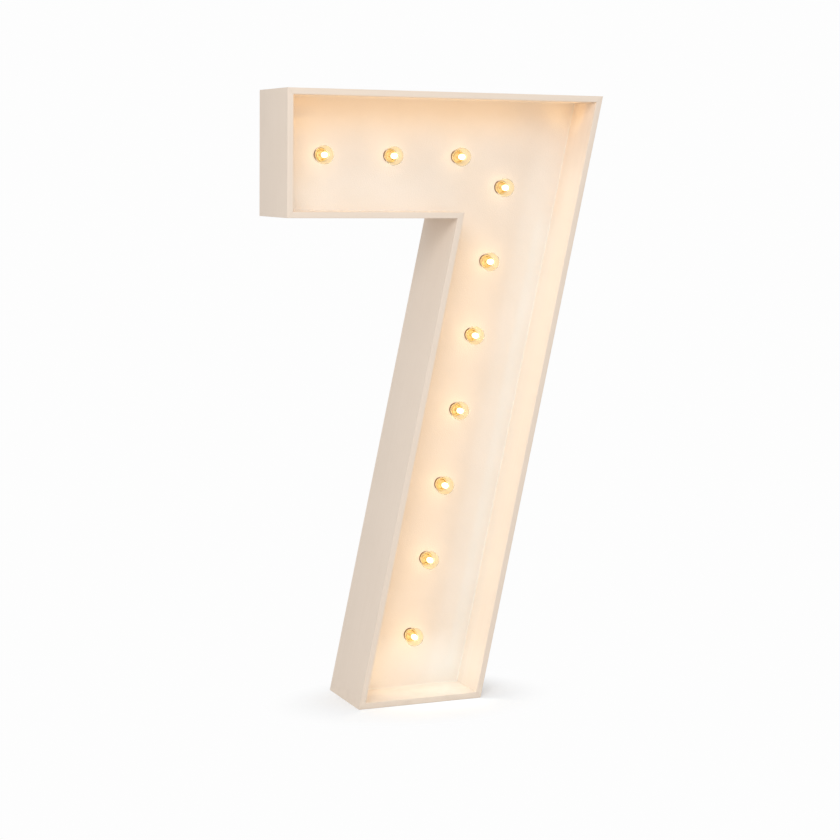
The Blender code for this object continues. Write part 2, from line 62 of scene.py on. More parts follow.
# Camera
# It stands to the left of the numeral and well above its middle, where the edges of the box line up with the
# photograph's. The turns are in radians, and the lens and its sensor in millimetres.
camera_place = (-1.60638, -3.69154, 1.06765)
camera_yaw, camera_pitch, camera_roll = 0.40551, -0.12441, -0.01202
sensor_width, focal_length = 36.0, 85.751
ahead = np.array([
    math.sin(camera_yaw) * math.cos(camera_pitch),
    math.cos(camera_yaw) * math.cos(camera_pitch),
    math.sin(camera_pitch),
])
level = np.array([math.cos(camera_yaw), -math.sin(camera_yaw), 0.0])
upward = np.cross(level, ahead)
camera_right = math.cos(camera_roll) * level - math.sin(camera_roll) * upward
camera_up = math.sin(camera_roll) * level + math.cos(camera_roll) * upward
camera_data = bpy.data.cameras.new("camera")
camera_data.sensor_width = sensor_width
camera_data.lens = focal_length
camera = bpy.data.objects.new("camera", camera_data)
scene.collection.objects.link(camera)
camera.matrix_world = Matrix.Translation(camera_place) @ Matrix(
    (camera_right, camera_up, -ahead)
).transposed().to_4x4()
scene.camera = camera


# Boards
# Six 12 mm fibreboards, mitred and glued into an open box, with a hairline at each mitre. Their edges are
# sanded round and the sharp upper right tip is sanded back, and they are brushed with matt warm white paint.
# The brush leaves faint streaks along each board, so each paint is turned to run with its board.
class Wire:
    """A socket of a material's nodes: operators on values add Math nodes, and node() adds any other kind."""

    def __init__(self, tree, socket=None):
        self.tree = tree
        self.socket = socket

    def node(self, kind, settings=None, inputs=None, out=0):
        """The chosen output of a new node, whose settings are set before its sockets' values or links."""
        made = self.tree.nodes.new(kind)
        for name, value in (settings or {}).items():
            setattr(made, name, value)
        for name, value in (inputs or {}).items():
            if isinstance(value, Wire):
                self.tree.links.new(value.socket, made.inputs[name])
            else:
                made.inputs[name].default_value = value
        return Wire(self.tree, made.outputs[out])

    def end(self, kind, shader):
        """Joins a shader to the tree's output, of this kind."""
        self.tree.links.new(shader.socket, self.tree.nodes.new(kind).inputs["Surface"])

    def math(self, operation, *others):
        """This value in a Math node, first, with any others after it."""
        return self.node("ShaderNodeMath", {"operation": operation}, dict(enumerate((self, *others))))

    def __add__(self, other):
        return self.math("ADD", other)

    __radd__ = __add__

    def __sub__(self, other):
        return self.math("SUBTRACT", other)

    def __rsub__(self, other):
        return self.math("MULTIPLY", -1.0) + other

    def __mul__(self, other):
        return self.math("MULTIPLY", other)

    __rmul__ = __mul__

    def step(self, start, end):
        """A smooth rise from 0 at start to 1 at end."""
        return self.node(
            "ShaderNodeMapRange",
            {"interpolation_type": "SMOOTHSTEP"},
            {"Value": self, "From Min": start, "From Max": end},
        )

    def shade(self, none, full):
        """A colour between two, by this value."""
        return self.node("ShaderNodeMix", {"data_type": "RGBA"}, {0: self, 6: none, 7: full}, 2)

    def noise(self, size, detail=3.0, turn=0.0):
        """Cloudy noise of 0 to 1 on this place, its size in metres along X, Y and Z turned about Y."""
        stretched = self.node(
            "ShaderNodeMapping",
            {"vector_type": "TEXTURE"},
            {"Vector": self, "Rotation": (0.0, turn, 0.0), "Scale": size},
        )
        return self.node("ShaderNodeTexNoise", {}, {"Vector": stretched, "Scale": 1.0, "Detail": detail})

    def axis(self, name):
        """One of this place's X, Y and Z."""
        return self.node("ShaderNodeSeparateXYZ", {}, {0: self}, name)


def screen(red, green, blue):
    """The light that a colour gives off, from its values of 0 to 255 on a screen."""
    shares = np.array([red, green, blue]) / 255
    return (*np.where(shares <= 0.04045, shares / 12.92, ((shares + 0.055) / 1.055) ** 2.4).tolist(), 1.0)


def start_finish(name):
    """A new material, and the place on the piece as its first wire."""
    material = bpy.data.materials.new(name)
    material.use_nodes = True
    material.node_tree.nodes.clear()
    return material, Wire(material.node_tree).node("ShaderNodeTexCoord", out="Object")


def close_finish(material, place, height=None, bump=0.0, **sockets):
    """Ends a material in a Principled shader, with a bump this many metres deep where it has a height."""
    inputs = {name.replace("_", " "): value for name, value in sockets.items()}
    if height is not None:
        bumped = {"Strength": 1.0, "Distance": bump, "Height": height}
        inputs["Normal"] = place.node("ShaderNodeBump", {}, bumped)
    shader = place.node("ShaderNodeBsdfPrincipled", {}, inputs)
    place.end("ShaderNodeOutputMaterial", shader)
    return material


def painted_board(name, turn):
    """Brushed matt paint: streaks along the board, wide soft patches, and patchy darkening in the lowest 5
    cm.
    """
    material, place = start_finish(name)
    streaks = place.noise((0.35, 0.0035, 0.0035), 4.0, turn)
    patches = place.noise((0.12, 0.12, 0.12), 3.0)
    stipple = place.noise((0.0016, 0.0016, 0.0016), 2.0)
    paint = (streaks * 0.6 + patches * 0.7 - 0.15).shade(screen(235, 218, 200), screen(245, 229, 213))
    # Darker in noisy patches towards the bottom, fading out 5 cm above the bottom of the box.
    low_darkening = (1 - place.axis("Z").step(0.0, 0.05)) * place.noise((0.03, 0.03, 0.012), 4.0).step(0.4, 0.75)
    colour = (low_darkening * 0.15).shade(paint, screen(190, 172, 150))
    return close_finish(
        material, place, streaks * 0.5 + stipple * 0.5, 0.0002,
        Base_Color=colour, Roughness=0.5 + 0.18 * patches, Specular_IOR_Level=0.35,
    )


def net(name, grid):
    """A mesh on a grid of points, its columns closed up. Faces look outwards where the rows run down the
    outside."""
    rows, columns = grid.shape[:2]
    here = np.arange(rows * columns).reshape(rows, columns)
    beside = np.roll(here, -1, axis=1)
    faces = np.stack([here[:-1], here[1:], beside[1:], beside[:-1]], axis=-1).reshape(-1, 4)
    mesh = bpy.data.meshes.new(name)
    mesh.from_pydata(grid.reshape(-1, 3).tolist(), [], faces.tolist())
    merged = bmesh.new()
    merged.from_mesh(mesh)
    bmesh.ops.remove_doubles(merged, verts=merged.verts, dist=1e-7)
    merged.to_mesh(mesh)
    merged.free()
    mesh.shade_smooth()
    mesh.set_sharp_from_angle(angle=math.radians(35.0))
    return mesh


def fit_piece(name, mesh, material, body, slot, *nodes):
    """Adds a finished piece that rides on its body, and stands for the CAD nodes named."""
    mesh.materials.append(material)
    piece = bpy.data.objects.new(name, mesh)
    scene.collection.objects.link(piece)
    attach(piece, body)
    if nodes:
        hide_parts(*nodes)
    return piece


def rounded_loop(width, height, corner, steps=5):
    """Points round a rectangle about the origin, anticlockwise, with a quarter circle at each corner."""
    turn = np.linspace(0.0, math.pi / 2, steps)[None, :] + np.arange(4)[:, None] * math.pi / 2
    middle_x = (width / 2 - corner) * np.array([1, -1, -1, 1])[:, None]
    middle_y = (height / 2 - corner) * np.array([1, 1, -1, -1])[:, None]
    x = middle_x + corner * np.cos(turn)
    y = middle_y + corner * np.sin(turn)
    return np.column_stack([x.ravel(), y.ravel()])


def mitred_board(name, start, end, start_mitre, end_mitre):
    """A board's rounded section, its depth into the outline by its place from front to back, carried from
    one mitre to the other. Each point starts at the outer corner plus its depth times the mitre's way in,
    and both ends close on their middles."""
    section = rounded_loop(board_thickness, cad_high.y - cad_low.y, edge_rounding)[::-1]
    depth, across = section[:, :1] + board_thickness / 2, section[:, 1]
    way = (end - start) / np.linalg.norm(end - start)
    near = start + way * mitre_gap + depth * start_mitre
    far = end - way * mitre_gap + depth * end_mitre
    flat = np.stack([near.mean(axis=0) + 0 * near, near, far, far.mean(axis=0) + 0 * far])
    y = np.stack([0 * across, across, across, 0 * across])
    return net(name, np.stack([flat[:, :, 0], y, flat[:, :, 1]], axis=-1))


numeral_height, numeral_width, arm_height, stem_width = 1.219, 0.673, 0.2455, 0.267
stem_lean = math.radians(11.65)
board_thickness, edge_rounding, mitre_gap, tip_sanded = 0.012, 0.0009, 0.00013, 0.00025
foot_right = numeral_width / 2 - numeral_height * math.tan(stem_lean)
foot_left = foot_right - stem_width
arm_low = numeral_height - arm_height
outline = np.array([
    (-numeral_width / 2, numeral_height),
    (numeral_width / 2 - tip_sanded, numeral_height),
    (foot_right, 0.0),
    (foot_left, 0.0),
    (foot_left + arm_low * math.tan(stem_lean), arm_low),
    (-numeral_width / 2, arm_low),
])
ways = np.roll(outline, -1, axis=0) - outline
ways /= np.linalg.norm(ways, axis=1, keepdims=True)
inwards = np.stack([ways[:, 1], -ways[:, 0]], axis=1)
inwards_before = np.roll(inwards, 1, axis=0)
mitres = (inwards + inwards_before) / (1 + (inwards * inwards_before).sum(axis=1, keepdims=True))
level_paint = painted_board("painted_board_level", 0.0)
upright_paint = painted_board("painted_board_upright", -math.pi / 2)
leaning_paint = painted_board("painted_board_leaning", stem_lean - math.pi / 2)
board_paints = {
    "top": level_paint, "stem_outer": leaning_paint, "foot": level_paint, "stem_inner": leaning_paint,
    "arm_underside": level_paint, "arm_end": upright_paint,
}
for index, (edge, paint) in enumerate(board_paints.items()):
    following = (index + 1) % len(outline)
    name = f"mitred_{edge}"
    mesh = mitred_board(name, outline[index], outline[following], mitres[index], mitres[following])
    fit_piece(name, mesh, paint, "root", "painted_board", f"{edge}_board")


# Face panel
# A 6 mm fibreboard panel with a round hole for each lampholder, rolled with the same paint before it was
# glued in, so it shows a roller's fine stipple and no streaks.
def rolled_paint(name, dark, light, stipple_size):
    """Rolled paint: a fine stipple over soft patches between a darker and a lighter shade."""
    material, place = start_finish(name)
    patches = place.noise((0.09, 0.09, 0.09), 4.0)
    stipple = place.noise((stipple_size,) * 3, 2.0)
    colour = (patches * 0.8 + stipple * 0.3 - 0.05).shade(dark, light)
    return close_finish(
        material, place, stipple, 0.0003,
        Base_Color=colour, Roughness=0.52 + 0.16 * patches, Specular_IOR_Level=0.35,
    )


def dress(node_names, material):
    """Gives CAD nodes their finish."""
    for name in node_names:
        for material_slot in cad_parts[name].material_slots:
            material_slot.material = material


panel_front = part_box("face_panel")[0].y
panel_paint = rolled_paint("painted_panel", screen(233, 219, 203), screen(244, 232, 220), 0.0022)
dress(["face_panel"], panel_paint)


# Filler bead
# A fine bead of painter's filler, wiped hollow with a finger. It closes the joint between the boards and the
# panel.
def hollow_bead(name, radius, sunk):
    """A bead's section, a hollow quarter circle from board to panel with its back sunk in the joint, carried
    round the inside of the boards. Each corner's section slides along its mitre."""
    turn = np.linspace(0.0, math.pi / 2, 8)
    away = np.concatenate([[-sunk], radius * (1 - np.cos(turn)), [0.0]])
    ahead = np.concatenate([[0.0], radius * (1 - np.sin(turn)), [-sunk]])
    closed = np.arange(len(outline) + 1) % len(outline)
    flat = outline[closed][:, None, :] + (board_thickness + away)[None, :, None] * mitres[closed][:, None, :]
    y = panel_front - ahead[None, :] + 0 * flat[:, :, 0]
    return net(name, np.stack([flat[:, :, 0], y, flat[:, :, 1]], axis=-1))


bead_radius, bead_sunk = 0.0022, 0.0001
bead = hollow_bead("filler_bead", bead_radius, bead_sunk)
fit_piece("filler_bead", bead, panel_paint, "root", "painted_panel")


# Battens
# Four planed softwood strips glued inside the boards. They back the face panel and take the rear cover's
# screws, and none of them shows with the cover on.
def softwood(name, turn):
    """Planed softwood: growth rings drawn out along the strip, warped a little, with fine pores."""
    material, place = start_finish(name)
    wave = place.noise((0.5, 0.006, 0.006), 2.0, turn)
    bands = place.noise((0.4, 0.0016, 0.0016), 3.0, turn)
    colour = (wave * 0.6 + bands * 0.5 - 0.05).shade(screen(196, 156, 104), screen(232, 203, 156))
    return close_finish(material, place, bands, 0.0002, Base_Color=colour, Roughness=0.6 + 0.15 * bands)


dress(["top_batten", "arm_underside_batten"], softwood("softwood_level", 0.0))
dress(["stem_outer_batten", "stem_inner_batten"], softwood("softwood_leaning", stem_lean - math.pi / 2))


# Rear cover
# A 4 mm hardboard sheet that closes the back, set 6 mm in, rolled once with the same paint. Seventeen
# brass-plated pan-head screws with cross recesses hold it to the middles of the battens.
def pan_head(x, z, turn):
    """A screw's head on the cover: a dome with a flat middle, less a cross recess that fades out towards its
    ends and its bottom, and a rim that drops straight into the cover."""
    share = np.linspace(0.0, 1.0, 19)[:, None]
    around = -np.linspace(0.0, 2 * math.pi, 56, endpoint=False)[None, :]
    dome = head_rise * (1 - share ** 3.2) ** 0.55
    along, aside = share * head_radius * np.cos(around), share * head_radius * np.sin(around)
    slots = [
        np.clip(1.5 - np.abs(u) / slot_half, 0.0, 1.0)
        * np.clip((slot_reach - np.abs(v)) / slot_fade, 0.0, 1.0)
        for u, v in ((along, aside), (aside, along))
    ]
    rise = np.maximum(dome - slot_depth * np.maximum(*slots), 0.0)
    flat = 0 * around[0]
    edge = np.stack([along[-1] + flat, aside[-1] + flat, -head_sunk + flat], axis=-1)
    head = np.concatenate([np.stack([along, aside, rise], axis=-1), edge[None]])
    closed = np.concatenate([head, 0 * head[-1:] + [0.0, 0.0, -head_sunk]])
    across = closed[..., 0] * math.cos(turn) - closed[..., 1] * math.sin(turn)
    up = closed[..., 0] * math.sin(turn) + closed[..., 1] * math.cos(turn)
    return np.stack([x + across, cover_back + closed[..., 2], z + up], axis=-1)


def plated(name, dark, light):
    """Bright plating with fine drawing marks and a soft tarnish."""
    material, place = start_finish(name)
    marks = place.noise((0.0015, 0.0015, 0.0002), 3.0)
    tarnish = place.noise((0.004,) * 3, 4.0)
    colour = (tarnish * 0.8 + marks * 0.2).shade(dark, light)
    return close_finish(
        material, place, marks, 0.00003, Base_Color=colour, Metallic=0.9 - 0.1 * tarnish,
        Roughness=0.3 + 0.2 * tarnish,
    )


def batten_line(name, leaning):
    """The ends of a batten's middle line, from its box. A leaning batten's ends stand half its thickness off
    the box's corners."""
    low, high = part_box(name)
    half = batten_thickness / 2
    if not leaning:
        return (low.x, low.z + half), (high.x, low.z + half)
    aside, rise = half * math.cos(stem_lean), half * math.sin(stem_lean)
    return (low.x + aside, low.z + rise), (high.x - aside, high.z - rise)


head_radius, head_rise, head_sunk = 0.0035, 0.0019, 0.0001
slot_half, slot_reach, slot_fade, slot_depth = 0.0005, 0.0021, 0.0005, 0.0012
batten_thickness, screw_end_space = 0.018, 0.025
cover_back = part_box("rear_cover")[1].y
dress(["rear_cover"], rolled_paint("cover_paint", screen(228, 213, 197), screen(240, 227, 212), 0.0015))
plated_finish = plated("brass_plating", screen(206, 168, 96), screen(238, 206, 138))
screw_rows = {
    "top_batten": (False, 4), "stem_outer_batten": (True, 6), "stem_inner_batten": (True, 5),
    "arm_underside_batten": (False, 2),
}
for batten, (leaning, count) in screw_rows.items():
    start, end = (np.array(point) for point in batten_line(batten, leaning))
    inset = (end - start) / np.linalg.norm(end - start) * screw_end_space
    for number in range(count):
        x, z = start + inset + (end - start - 2 * inset) * number / (count - 1)
        name = f"{batten}_screw_{number + 1}"
        mesh = net(name, pan_head(x, z, 1.1 * number + 0.4 * count))
        fit_piece(name, mesh, plated_finish, "root", "cap_brass")


# Lampholders
# Brown moulded holders. Each one's rim sits on the panel's front, a little wider at its upper left. Its
# barrel goes through the hole, and a ribbed ring nut clamps it from behind.
lamp_numbers = [f"{number:02d}" for number in range(1, 11)]


def turned(name, place, profile, sides, depth=0.0, lobes=0, phase=0.0):
    """A turned piece on an axis out of the front: its radius at turn t is the profile's, plus depth times the
    cosine of lobes times t plus phase. Each of these is a number, or one for each point of the profile, whose
    heights run towards the front."""
    radius, height = np.array(profile).T[:, :, None]
    turn = np.linspace(0.0, 2 * math.pi, sides, endpoint=False)[None, :]
    depth, lobes, phase = (np.reshape(value, (-1, 1)) for value in (depth, lobes, phase))
    reach = radius + depth * np.cos(lobes * turn + phase)
    x, y, z = place
    ring = [x + reach * np.cos(turn), y - height + 0 * turn, z + reach * np.sin(turn)]
    return net(name, np.stack(ring, axis=-1))


def lamp_place(number):
    """The middle of a lampholder on the panel's front."""
    low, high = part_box(f"lampholder_{number}")
    return (low.x + high.x) / 2, panel_front, (low.z + high.z) / 2


def phenolic(name):
    """Moulded phenolic: brown with faint flow marks and a dull shine."""
    material, place = start_finish(name)
    flow = place.noise((0.012, 0.003, 0.012), 4.0)
    grain = place.noise((0.0006,) * 3, 2.0)
    colour = flow.shade(screen(102, 54, 18), screen(128, 74, 32))
    return close_finish(
        material, place, grain, 0.00005,
        Base_Color=colour, Roughness=0.5 + 0.15 * flow, Specular_IOR_Level=0.2,
    )


holder_profile = [
    (0.0, -0.0223), (0.0119, -0.0223), (0.0119, 0.0014), (0.0122, 0.0018), (0.0133, 0.0018),
    (0.01385, 0.0014), (0.01385, 0.0003), (0.0129, 0.0003), (0.0129, -0.0063), (0.0159, -0.0063),
    (0.0163, -0.0067), (0.0163, -0.0099), (0.0159, -0.0103), (0.0129, -0.0103), (0.0129, -0.0257),
    (0.0123, -0.0263), (0.0095, -0.0263), (0.0095, -0.0338), (0.009, -0.0343), (0.0, -0.0343),
]
on_rim = np.array([0.0003 <= height and 0.013 < radius for radius, height in holder_profile])
on_nut = np.array([0.0159 <= radius for radius, height in holder_profile])
holder_depth = 0.0006 * on_rim + 0.0004 * on_nut
holder_lobes = np.where(on_rim, 1, 24)
holder_phase = np.where(on_rim, -0.7 * math.pi, 0.0)
holder_finish = phenolic("brown_phenolic")
for number in lamp_numbers:
    name = f"ribbed_holder_{number}"
    mesh = turned(name, lamp_place(number), holder_profile, 96, holder_depth, holder_lobes, holder_phase)
    fit_piece(name, mesh, holder_finish, "root", "holder_plastic", f"lampholder_{number}")


# Bulb caps
# Thin drawn brass, with a plain skirt round the glass, a narrow flange over the holder's rim, a rolled screw
# thread below it, a black glass button at the bottom and a soldered tip. The thread's turns are 3.6 mm apart.
def drawn_brass(name):
    """Bright brass with drawing marks round it; below the thread a black button, and a tin tip under that."""
    material, place = start_finish(name)
    marks = place.noise((0.02, 0.0004, 0.02), 3.0)
    tarnish = place.noise((0.006,) * 3, 4.0)
    brass = (tarnish * 0.8 + marks * 0.2).shade(screen(251, 222, 158), screen(255, 236, 184))
    behind = place.axis("Y")
    button = behind.step(panel_front + 0.0169, panel_front + 0.0171)
    tip = behind.step(panel_front + 0.0196, panel_front + 0.0197)
    colour = tip.shade(button.shade(brass, screen(24, 22, 24)), screen(186, 184, 180))
    return close_finish(
        material, place, marks, 0.00004,
        Base_Color=colour, Metallic=0.4 - 0.4 * button * (1 - tip), Roughness=0.42 + 0.16 * tarnish,
    )


skirt_bottom, thread_bottom, thread_pitch = -0.0035, -0.0165, 0.0036
thread_heights = np.linspace(skirt_bottom, thread_bottom, 46)
thread_fade, thread_depth = 0.002, 0.0004
thread_inside = np.minimum(skirt_bottom - thread_heights, thread_heights - thread_bottom)
thread_ends = np.clip(thread_inside / thread_fade, 0.0, 1.0)
above_thread = [
    (0.0, -0.0163), (0.01, -0.0163), (0.01, -0.0034), (0.011, -0.003), (0.011, 0.0043), (0.0113, 0.0045),
    (0.0115, 0.0043), (0.0115, 0.0034), (0.0119, 0.0031), (0.0131, 0.003), (0.0133, 0.0028), (0.0133, 0.0023),
    (0.0131, 0.0021), (0.0116, 0.0021), (0.0115, 0.0019), (0.0115, -0.0033),
]
below_thread = [
    (0.0112, -0.0168), (0.0105, -0.0171), (0.0045, -0.0195), (0.0044, -0.0216), (0.0038, -0.022),
    (0.0, -0.022),
]
thread_radius = 0.0111
cap_profile = above_thread + [(thread_radius, height) for height in thread_heights] + below_thread
cap_thread = np.concatenate(
    [np.zeros(len(above_thread)), thread_depth * thread_ends, np.zeros(len(below_thread))]
)
cap_phase = [2 * math.pi * height / thread_pitch for radius, height in cap_profile]
brass_finish = drawn_brass("drawn_brass")
for number in lamp_numbers:
    name = f"threaded_cap_{number}"
    mesh = turned(name, lamp_place(number), cap_profile, 64, cap_thread, 1, cap_phase)
    fit_piece(name, mesh, brass_finish, f"bulb_{number}", "cap_brass", f"bulb_cap_{number}")


# Globes
# Clear blown glass, 38 mm across and 0.9 mm thick, drawn in to a neck that is cemented into the cap. It has a
# faint amber cast. Its index is set low for its look in the photograph, and it throws no shadow.
def blown_glass(name):
    """Clear glass with a faint amber cast, and slow waves in its surface from blowing."""
    material, place = start_finish(name)
    waves = place.noise((0.02, 0.02, 0.02), 1.0)
    film = place.noise((0.008,) * 3, 4.0)
    colour = film.shade(screen(255, 250, 230), screen(255, 252, 240))
    return close_finish(
        material, place, waves, 0.0002,
        Base_Color=colour, Roughness=0.01 + 0.03 * film, Transmission_Weight=1.0, IOR=1.05,
        Coat_Weight=0.5,
    )


def globe_side(radius, neck, fillet, standoff, neck_bottom):
    """A globe's side from its front pole: an arc, a hollow fillet that meets both, and a straight neck."""
    reach = math.sqrt((radius + fillet) ** 2 - (neck + fillet) ** 2)
    meeting = math.asin(-reach / (radius + fillet))
    around = np.linspace(math.pi / 2, meeting, 30)
    hollow = np.linspace(meeting + math.pi, math.pi, 8)[1:]
    side = np.column_stack([radius * np.cos(around), standoff + radius * np.sin(around)])
    side[0, 0] = 0.0
    throat_radius = neck + fillet + fillet * np.cos(hollow)
    throat_height = standoff - reach + fillet * np.sin(hollow)
    return np.concatenate([side, np.column_stack([throat_radius, throat_height]), [(neck, neck_bottom)]])


globe_standoff, globe_bottom = 0.022, -0.0027
globe_outside = globe_side(0.019, 0.0107, 0.004, globe_standoff, globe_bottom)
globe_inside = globe_side(0.0181, 0.0098, 0.0049, globe_standoff, globe_bottom)
globe_profile = np.concatenate([globe_outside, globe_inside[::-1]])
glass_finish = blown_glass("blown_glass")
for number in lamp_numbers:
    name = f"clear_globe_{number}"
    mesh = turned(name, lamp_place(number), globe_profile, 72)
    piece = fit_piece(
        name, mesh, glass_finish, f"bulb_{number}", "globe_glass", f"bulb_globe_{number}"
    )
    piece.visible_shadow = False
    piece.visible_diffuse = False


# Lit cores
# A frosted capsule over each bulb's light-emitting diodes, glowing warm white. It stands on a moulded stem
# that holds the driver inside the cap.
def lit_frost(name):
    """A frosted capsule glowing warm white, a shade deeper where the frosting is thicker."""
    material, place = start_finish(name)
    frosting = place.noise((0.004,) * 3, 3.0)
    glow = frosting.shade(screen(255, 226, 174), screen(255, 240, 206))
    return close_finish(
        material, place, frosting, 0.0001,
        Base_Color=glow, Roughness=0.5 + 0.1 * frosting, Emission_Color=glow,
        Emission_Strength=6.0,
    )


def moulded(name, dark, light, roughness):
    """Moulded plastic with a fine spark-eroded grain between two near shades."""
    material, place = start_finish(name)
    grain = place.noise((0.0005,) * 3, 2.0)
    flow = place.noise((0.01,) * 3, 3.0)
    colour = (flow * 0.7 + grain * 0.3).shade(dark, light)
    return close_finish(material, place, grain, 0.00006, Base_Color=colour, Roughness=roughness + 0.12 * flow)


core_radius, core_half, core_stem_radius = 0.0055, 0.0105, 0.0022
core_turns = np.linspace(math.pi / 2, -math.acos(core_stem_radius / core_radius), 24)
core_profile = np.column_stack(
    [core_radius * np.cos(core_turns), globe_standoff + core_half * np.sin(core_turns)]
)
core_profile[0, 0] = 0.0
core_profile = np.concatenate([core_profile, [(0.0, core_profile[-1, 1])]])
stem_profile = [
    (0.0, 0.0113), (core_stem_radius, 0.0113), (core_stem_radius, -0.0018), (0.003, -0.0028),
    (0.0094, -0.0034), (0.0096, -0.0036), (0.0096, -0.0158), (0.0, -0.0158),
]
core_finish = lit_frost("lit_frost")
stem_finish = moulded("amber_moulding", screen(251, 218, 156), screen(255, 231, 182), 0.4)
for number in lamp_numbers:
    mesh = turned(f"lit_capsule_{number}", lamp_place(number), core_profile, 40)
    fit_piece(f"lit_capsule_{number}", mesh, core_finish, f"bulb_{number}", "lit_core", f"led_core_{number}")
    mesh = turned(f"core_stem_{number}", lamp_place(number), stem_profile, 32)
    fit_piece(f"core_stem_{number}", mesh, stem_finish, f"bulb_{number}", "lit_core", f"led_core_{number}")


# Leads and junction box
# A white sheathed lead runs behind the lampholders down to a grey moulded box on the panel's back, and
# shorter ones run from there to the inlet and the switch.
sheath_finish = moulded("white_sheath", screen(205, 205, 200), screen(222, 222, 218), 0.45)
dress(["lamp_lead", "inlet_lead", "switch_lead"], sheath_finish)
dress(["junction_box"], moulded("grey_moulding", screen(186, 186, 182), screen(204, 204, 200), 0.45))


# Inlet
# A low-voltage socket moulded in black, pressed through the rear cover up to its flange. A plated pin stands
# in its middle.
inlet_low, inlet_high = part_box("dc_inlet")
inlet_place = ((inlet_low.x + inlet_high.x) / 2, cover_back, (inlet_low.z + inlet_high.z) / 2)
inlet_profile = [
    (0.0, 0.024), (0.0051, 0.024), (0.0055, 0.0236), (0.0055, 0.0003), (0.0072, 0.0003), (0.0075, 0.0),
    (0.0075, -0.0012), (0.0073, -0.0017), (0.0069, -0.002), (0.0042, -0.002), (0.0038, -0.0018),
    (0.0032, -0.0013), (0.0029, -0.0008), (0.0029, 0.0075), (0.0, 0.0075),
]
pin_profile = [
    (0.0, 0.0078), (0.001, 0.0078), (0.001, -0.0006), (0.0008, -0.0009), (0.0005, -0.001), (0.0, -0.001),
]
black_finish = moulded("black_moulding", screen(26, 26, 27), screen(40, 40, 42), 0.38)
socket = turned("inlet_socket", inlet_place, inlet_profile, 72)
fit_piece("inlet_socket", socket, black_finish, "root", "black_plastic", "dc_inlet")
pin = turned("inlet_pin", inlet_place, pin_profile, 32)
fit_piece("inlet_pin", pin, plated_finish, "root", "cap_brass", "dc_inlet")


# Switch
# A black rocker switch pressed into the rear cover up to its flange. The rocker's face is a shallow V,
# stamped with a white stroke and ring, and it rocks in the pocket.
def framed(name, place, rows):
    """Rounded rectangles one behind the other. Each row gives a width, a height, a corner and a way back."""
    loops = np.stack([rounded_loop(width, height, corner) for width, height, corner, back in rows])
    back = np.array([row[3] for row in rows])[:, None] + 0 * loops[:, :, 0]
    x, y, z = place
    return net(name, np.stack([x + loops[:, :, 0], y + back, z + loops[:, :, 1]], axis=-1))


def rocker_shape(name, place):
    """The rocker's outline, a soft V on a half circle, carried across its width and drawn in at both ends.
    Then it is tipped about its axis."""
    up = np.linspace(rocker_half - rocker_tip, rocker_tip - rocker_half, 25)
    face = np.column_stack([up, rocker_crown + rocker_rise * np.hypot(up, rocker_tip) / rocker_half])
    low_tip = np.array([rocker_tip - rocker_half, rocker_crown + rocker_rise - rocker_tip])
    turn = np.linspace(math.pi / 2, math.pi, 6)
    tip = rocker_tip * np.column_stack([np.cos(turn), np.sin(turn)]) + low_tip
    turn = np.linspace(math.pi, 2 * math.pi, 30)
    bowl = rocker_half * np.column_stack([np.cos(turn), np.sin(turn)])
    other_tip = (tip * [-1.0, 1.0])[::-1]
    section = np.concatenate([face[1:-1], tip, bowl, other_tip])
    across = np.array([-0.5, -0.5, -0.486, -0.453, 0.453, 0.486, 0.5, 0.5]) * rocker_width
    scale = np.array([0.0, 0.953, 0.986, 1.0, 1.0, 0.986, 0.953, 0.0])
    up, out = scale[:, None] * section[:, 0], scale[:, None] * section[:, 1]
    x, y, z = place
    tipped_out = out * math.cos(rocker_tilt) + up * math.sin(rocker_tilt)
    tipped_up = up * math.cos(rocker_tilt) - out * math.sin(rocker_tilt)
    return net(name, np.stack([x + across[:, None] + 0 * up, y + tipped_out, z + tipped_up], axis=-1))


def stamped_moulding(name, x, z):
    """Black moulding with a white stroke on its lower half and a white ring on its upper half."""
    material, place = start_finish(name)
    grain = place.noise((0.0005,) * 3, 2.0)
    flow = place.noise((0.006,) * 3, 3.0)
    aside, above = place.axis("X") - x, place.axis("Z") - z
    ring_up = above - 0.0044
    ring_reach = (aside * aside + ring_up * ring_up).math("SQRT")
    ring = ring_reach.step(0.00085, 0.00092) * (1 - ring_reach.step(0.00123, 0.0013))
    stroke = 1 - aside.math("ABSOLUTE").step(0.00018, 0.00024)
    stroke = stroke * (1 - (above + 0.0047).math("ABSOLUTE").step(0.00115, 0.00122))
    black = (flow * 0.7 + grain * 0.3).shade(screen(28, 28, 29), screen(42, 42, 44))
    colour = ring.math("MAXIMUM", stroke).shade(black, screen(222, 222, 218))
    return close_finish(material, place, grain, 0.00005, Base_Color=colour, Roughness=0.32 + 0.12 * flow)


switch_low, switch_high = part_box("switch_housing")
switch_place = ((switch_low.x + switch_high.x) / 2, cover_back, (switch_low.z + switch_high.z) / 2)
rocker_width, rocker_half, rocker_tip = 0.0085, 0.0085, 0.0005
rocker_crown, rocker_rise, rocker_tilt = 0.0012, 0.0015, math.radians(10.0)
rocker_axis_back = 0.0018
housing_rows = [
    (0.0, 0.0, 0.0, -0.009), (0.0113, 0.0206, 0.0008, -0.009), (0.0119, 0.0212, 0.0011, -0.0087),
    (0.0119, 0.0212, 0.0011, 0.0003), (0.0144, 0.0237, 0.0015, 0.0003), (0.0147, 0.024, 0.0016, 0.0005),
    (0.0147, 0.024, 0.0016, 0.0014), (0.0144, 0.0237, 0.0015, 0.0019), (0.0138, 0.0231, 0.0013, 0.0022),
    (0.0133, 0.0226, 0.0011, 0.0023), (0.0098, 0.0191, 0.0008, 0.0023), (0.0092, 0.0185, 0.0006, 0.002),
    (0.0091, 0.0184, 0.0006, -0.007), (0.0, 0.0, 0.0, -0.007),
]
housing = framed("switch_frame", switch_place, housing_rows)
